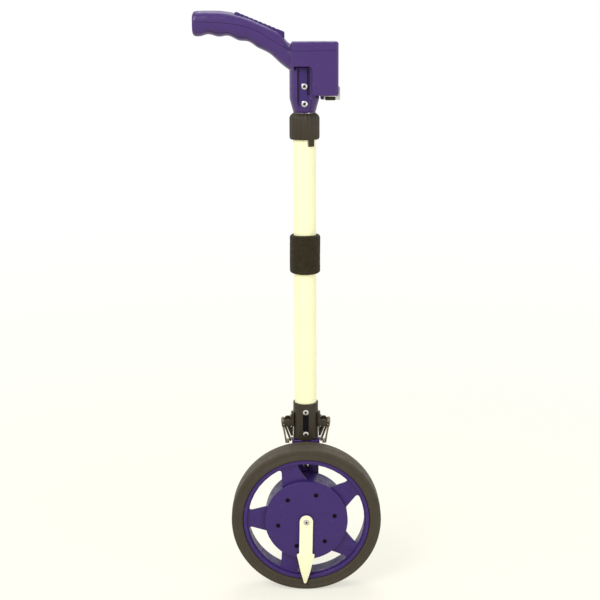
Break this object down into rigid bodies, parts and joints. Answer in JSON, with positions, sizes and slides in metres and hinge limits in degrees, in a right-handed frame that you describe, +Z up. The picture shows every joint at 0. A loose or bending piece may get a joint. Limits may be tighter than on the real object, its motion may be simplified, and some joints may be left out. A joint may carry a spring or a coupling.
{
  "type": "measuring wheel",
  "caption": "Telescopic measuring wheel: spoked wheel with a hanging pointer on an offset leg, latched pole with a twist clamp, and a head with a number counter, reset lever and hand grip.",
  "frame": {"origin": "on the ground under the axle, in the middle of the tyre's width", "axes": "+X is the way the wheel rolls, with the grip pointing back along -X; +Z up along the pole; the wheel's pointer faces -Y and the leg, pole and head stand behind the wheel on the +Y side"},
  "size_m": [0.1914, 0.0722, 0.6066],
  "materials": {
    "purple_plastic": "glossy moulded plastic",
    "purple_grip_plastic": "glossy moulded plastic",
    "black_plastic": "satin",
    "tyre_rubber": "matte rubber",
    "foam": "matte foam",
    "cream_plastic": "satin",
    "aluminium_tube": "satin anodised",
    "steel": "satin",
    "yellow_zinc": "yellow zinc plated",
    "brass": "satin",
    "white_plastic": "satin",
    "red_plastic": "satin",
    "clear_plastic": "clear, polished"
  },
  "bodies": {
    "frame": {"leg": "purple_plastic", "leg_screw": "steel", "shaft_bush": "brass", "gearbox_cover": "black_plastic", "axle": "steel", "axle_nut": "steel", "pointer_screw": "steel", "pole_socket": "black_plastic", "socket_screw_lower": "steel", "socket_screw_upper": "steel", "latch_bracket_left": "black_plastic", "latch_bracket_right": "black_plastic", "latch_rivet_left": "yellow_zinc", "latch_rivet_right": "yellow_zinc", "latch_catch_left": "steel", "latch_catch_right": "steel", "outer_tube": "aluminium_tube", "foam_collar": "foam", "clamp_collet": "black_plastic"},
    "wheel": {"tyre": "tyre_rubber", "wheel_body": "purple_plastic", "hub_cover": "purple_plastic", "hub_back": "purple_plastic", "hub_screw_1": "black_plastic", "hub_screw_2": "black_plastic", "hub_screw_3": "black_plastic", "hub_screw_4": "black_plastic", "hub_screw_5": "black_plastic", "hub_screw_6": "black_plastic", "hub_bush": "brass", "hub_gear": "steel"},
    "pointer": {"pointer_arm": "cream_plastic"},
    "lower_drive": {"drive_shaft": "steel", "drive_tube": "steel"},
    "upper_drive": {"drive_rod": "steel"},
    "nut": {"clamp_nut": "black_plastic"},
    "head": {"inner_tube": "aluminium_tube", "upper_bush": "brass", "lower_shell": "purple_grip_plastic", "upper_shell": "purple_grip_plastic", "neck_screw_lower": "steel", "neck_screw_upper": "steel", "grip_screw_front": "steel", "grip_screw_rear": "steel", "counter_frame": "steel", "counter_window": "clear_plastic"},
    "cross_drive": {"cross_axle": "brass"},
    "drum_1": {"drum_axle": "brass", "number_drum_1": "red_plastic"},
    "drum_2": {"number_drum_2": "white_plastic"},
    "drum_3": {"number_drum_3": "white_plastic"},
    "drum_4": {"number_drum_4": "white_plastic"},
    "drum_5": {"number_drum_5": "white_plastic"},
    "left_lever": {"latch_lever_left": "yellow_zinc"},
    "left_loop": {"latch_loop_left": "steel"},
    "right_lever": {"latch_lever_right": "yellow_zinc"},
    "right_loop": {"latch_loop_right": "steel"},
    "thumb": {"thumb_lever": "purple_plastic"},
    "reset": {"reset_lever": "steel", "reset_pad": "black_plastic"}
  },
  "joints": [
    {"name": "wheel_spin", "type": "hinge", "parent": "frame", "child": "wheel", "pos_m": [0, 0, 0.07958], "axis": [0, 1, 0], "continuous": true},
    {"name": "pointer_swing", "type": "hinge", "parent": "frame", "child": "pointer", "pos_m": [0, -0.0165, 0.07958], "axis": [0, 1, 0], "continuous": true},
    {"name": "lower_drive_spin", "type": "hinge", "parent": "frame", "child": "lower_drive", "pos_m": [0, 0.031, 0.12], "axis": [0, 0, 1], "continuous": true},
    {"name": "nut_turn", "type": "hinge", "parent": "frame", "child": "nut", "pos_m": [0, 0.031, 0.4784], "axis": [0, 0, 1], "range_deg": [0, 90]},
    {"name": "telescope", "type": "slide", "parent": "frame", "child": "head", "axis": [0, 0, 1], "range_m": [0, 0.23]},
    {"name": "upper_drive_spin", "type": "hinge", "parent": "head", "child": "upper_drive", "pos_m": [0, 0.031, 0.5], "axis": [0, 0, 1], "continuous": true},
    {"name": "cross_spin", "type": "hinge", "parent": "head", "child": "cross_drive", "pos_m": [0, 0.031, 0.5637], "axis": [0, 1, 0], "continuous": true},
    {"name": "drum_1_spin", "type": "hinge", "parent": "head", "child": "drum_1", "pos_m": [0.0136, 0.031, 0.5637], "axis": [0, 1, 0], "continuous": true},
    {"name": "drum_2_spin", "type": "hinge", "parent": "head", "child": "drum_2", "pos_m": [0.0136, 0.031, 0.5637], "axis": [0, 1, 0], "continuous": true},
    {"name": "drum_3_spin", "type": "hinge", "parent": "head", "child": "drum_3", "pos_m": [0.0136, 0.031, 0.5637], "axis": [0, 1, 0], "continuous": true},
    {"name": "drum_4_spin", "type": "hinge", "parent": "head", "child": "drum_4", "pos_m": [0.0136, 0.031, 0.5637], "axis": [0, 1, 0], "continuous": true},
    {"name": "drum_5_spin", "type": "hinge", "parent": "head", "child": "drum_5", "pos_m": [0.0136, 0.031, 0.5637], "axis": [0, 1, 0], "continuous": true},
    {"name": "left_latch", "type": "hinge", "parent": "frame", "child": "left_lever", "pos_m": [-0.0236, 0.031, 0.174], "axis": [0, 1, 0], "range_deg": [0, 150]},
    {"name": "left_loop_swing", "type": "hinge", "parent": "left_lever", "child": "left_loop", "pos_m": [-0.02469, 0.031, 0.17701], "axis": [0, 1, 0], "range_deg": [-130.2, 0]},
    {"name": "right_latch", "type": "hinge", "parent": "frame", "child": "right_lever", "pos_m": [0.0236, 0.031, 0.174], "axis": [0, -1, 0], "range_deg": [0, 150]},
    {"name": "right_loop_swing", "type": "hinge", "parent": "right_lever", "child": "right_loop", "pos_m": [0.02469, 0.031, 0.17701], "axis": [0, -1, 0], "range_deg": [-130.2, 0]},
    {"name": "thumb_press", "type": "hinge", "parent": "head", "child": "thumb", "pos_m": [-0.0661, 0.031, 0.59869], "axis": [0, 1, 0], "range_deg": [0, 4.2], "stiffness_Nm_per_rad": 1, "springref_deg": -3.44},
    {"name": "reset_press", "type": "hinge", "parent": "head", "child": "reset", "pos_m": [0.018, 0.031, 0.5204], "axis": [0, 1, 0], "range_deg": [0, 15], "stiffness_Nm_per_rad": 0.2, "springref_deg": -8.59}
  ],
  "couplings": [
    {"joint": "lower_drive_spin", "follows": "wheel_spin", "ratio": 1},
    {"joint": "upper_drive_spin", "follows": "wheel_spin", "ratio": 1},
    {"joint": "cross_spin", "follows": "wheel_spin", "ratio": 1},
    {"joint": "drum_1_spin", "follows": "wheel_spin", "ratio": -0.5},
    {"joint": "drum_2_spin", "follows": "wheel_spin", "ratio": -0.05},
    {"joint": "drum_3_spin", "follows": "wheel_spin", "ratio": -0.005},
    {"joint": "drum_4_spin", "follows": "wheel_spin", "ratio": -0.0005},
    {"joint": "drum_5_spin", "follows": "wheel_spin", "ratio": -0.00005},
    {"joint": "left_loop_swing", "follows": "left_latch", "ratio": -0.86814},
    {"joint": "right_loop_swing", "follows": "right_latch", "ratio": -0.86814}
  ]
}
